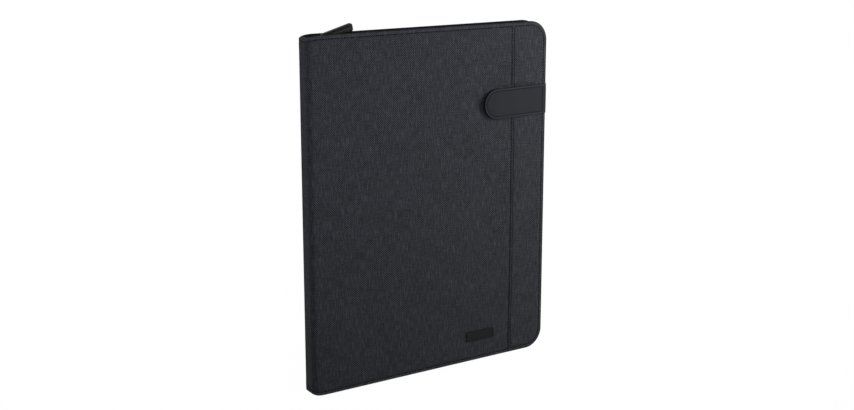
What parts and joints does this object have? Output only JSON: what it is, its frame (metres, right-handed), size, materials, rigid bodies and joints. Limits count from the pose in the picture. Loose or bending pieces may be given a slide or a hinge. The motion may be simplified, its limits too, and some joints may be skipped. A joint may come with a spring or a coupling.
{
  "type": "padfolio",
  "caption": "Closed zip-round writing folio in charcoal woven cloth, with a magnetic strap tab over its front slip pocket, a writing pad inside and a long zip pull.",
  "frame": {"origin": "middle of the back cover's outer face, on which the closed folio lies", "axes": "+X from the spine to the fore edge, +Y from the bottom edge to the top edge, +Z out through the front cover"},
  "size_m": [0.269, 0.3488, 0.0217],
  "materials": {
    "woven_cloth": "charcoal heather woven polyester",
    "lining_cloth": "plain woven lining",
    "foam": "thin closed-cell foam",
    "board": "grey-brown bookbinding board",
    "pad_card": "chipboard backing",
    "pad_paper": "ruled writing paper",
    "binding_tape": "black binding tape",
    "elastic": "woven elastic",
    "zip_tape": "black woven zip tape",
    "zip_teeth": "black moulded teeth",
    "slider_metal": "black enamelled zinc",
    "link_metal": "black enamelled steel",
    "grip_rubber": "moulded soft plastic",
    "leatherette": "smooth coated leatherette",
    "label_rubber": "moulded patch",
    "magnet_steel": "nickel-plated"
  },
  "bodies": {
    "back_cover": {"back_outer_panel": "woven_cloth", "back_foam": "foam", "back_board": "board", "back_lining": "lining_cloth", "pad_slot_panel": "lining_cloth", "pad_backing": "pad_card", "pad_sheets": "pad_paper", "pad_binding": "binding_tape", "pen_loop": "elastic", "zip_tape_back": "zip_tape", "zip_chain_back": "zip_teeth", "zip_stops_back": "zip_teeth"},
    "spine": {"spine_outer": "woven_cloth", "spine_board": "board", "spine_lining": "lining_cloth"},
    "front_cover": {"front_pocket_panel": "woven_cloth", "front_base_panel": "woven_cloth", "front_foam": "foam", "front_board": "board", "front_lining": "lining_cloth", "document_pocket": "lining_cloth", "card_pocket_upper": "lining_cloth", "card_pocket_lower": "lining_cloth", "zip_tape_front": "zip_tape", "zip_chain_front": "zip_teeth", "zip_stops_front": "zip_teeth", "label_patch": "label_rubber", "tab_keeper": "magnet_steel", "tab_anchor": "leatherette"},
    "tab": {"closure_tab": "leatherette", "tab_backing": "leatherette", "tab_magnet": "magnet_steel"},
    "slider": {"slider_body": "slider_metal"},
    "pull": {"pull_link": "link_metal", "pull_grip": "grip_rubber"}
  },
  "joints": [
    {"name": "spine_fold", "type": "hinge", "parent": "back_cover", "child": "spine", "pos_m": [-0.13165, 0, 0.00235], "axis": [0, -1, 0], "range_deg": [0, 90]},
    {"name": "cover_fold", "type": "hinge", "parent": "spine", "child": "front_cover", "pos_m": [-0.13165, 0, 0.01665], "axis": [0, -1, 0], "range_deg": [0, 90]},
    {"name": "tab_fold", "type": "hinge", "parent": "front_cover", "child": "tab", "pos_m": [0.127, 0.092, 0.0207], "axis": [0, 1, 0], "range_deg": [0, 160]},
    {"name": "zip_slide", "type": "slide", "parent": "back_cover", "child": "slider", "axis": [1, 0, 0], "range_m": [0, 0.22], "deforming": ["zip_chain_back", "zip_chain_front"]},
    {"name": "pull_swing", "type": "hinge", "parent": "slider", "child": "pull", "pos_m": [-0.1177, 0.1675, 0.0095], "axis": [0, 0, 1], "range_deg": [-9, 144]}
  ]
}
